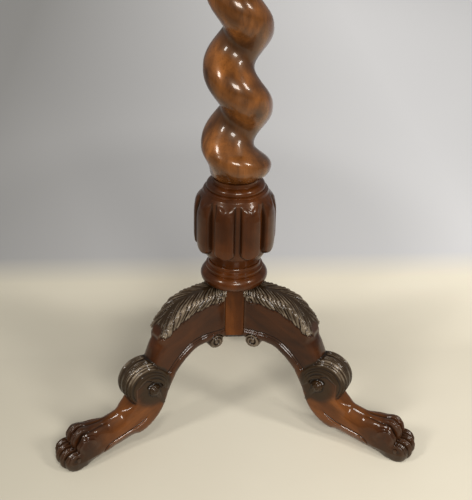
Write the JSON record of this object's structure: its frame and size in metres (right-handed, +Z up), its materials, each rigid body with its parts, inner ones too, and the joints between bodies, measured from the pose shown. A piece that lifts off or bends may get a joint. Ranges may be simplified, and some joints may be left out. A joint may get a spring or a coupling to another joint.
{
  "type": "tilt-top tripod table",
  "caption": "Tilt-top tripod table with a round top, a barley-twist pillar, a lobed collar and carved scroll legs on paw feet, with a brass catch under the top.",
  "frame": {"origin": "on the floor, under the pillar's axis", "axes": "+Z up along the pillar, +Y towards the rear leg, -Y towards the viewer of the picture, +X to the viewer's right"},
  "size_m": [0.56, 0.56, 0.714],
  "materials": {
    "twist_wood": "polished mahogany, warm orange brown",
    "turned_wood": "polished mahogany, dark red brown",
    "carved_wood": "polished mahogany with dark recesses in the carving",
    "top_wood": "polished mahogany",
    "plain_wood": "plain mahogany",
    "brass": "aged brass",
    "iron": "dark wrought iron",
    "steel": "plain steel"
  },
  "bodies": {
    "base": {"leg_block": "turned_wood", "leg_left": "carved_wood", "leg_right": "carved_wood", "leg_rear": "carved_wood", "under_plate": "iron", "under_plate_screw_1": "steel", "under_plate_screw_2": "steel", "under_plate_screw_3": "steel", "under_plate_screw_4": "steel", "lower_ring": "turned_wood", "lobed_collar": "turned_wood", "twist_shaft": "twist_wood", "tenon_wedge": "plain_wood", "upper_collar": "turned_wood", "tilt_block": "plain_wood", "pivot_pin_left": "brass", "pivot_pin_right": "brass", "keeper_plate": "brass", "keeper_screw_1": "brass", "keeper_screw_2": "brass"},
    "top": {"table_top": "top_wood", "bearer_left": "plain_wood", "bearer_right": "plain_wood", "bearer_screw_left_1": "steel", "bearer_screw_left_2": "steel", "bearer_screw_left_3": "steel", "bearer_screw_left_4": "steel", "bearer_screw_right_1": "steel", "bearer_screw_right_2": "steel", "bearer_screw_right_3": "steel", "bearer_screw_right_4": "steel", "catch_case": "brass", "catch_screw_1": "brass", "catch_screw_2": "brass", "catch_screw_3": "brass", "catch_screw_4": "brass", "catch_spring": "steel"},
    "catch": {"catch_bolt": "brass", "catch_knob": "brass"}
  },
  "joints": [
    {"name": "top_tilt", "type": "hinge", "parent": "base", "child": "top", "pos_m": [0, -0.0583, 0.673], "axis": [1, 0, 0], "range_deg": [0, 90]},
    {"name": "catch_slide", "type": "slide", "parent": "top", "child": "catch", "axis": [0, 1, 0], "range_m": [0, 0.0095], "stiffness_N_per_m": 300, "springref_m": -0.01, "deforming": ["catch_spring"]}
  ]
}
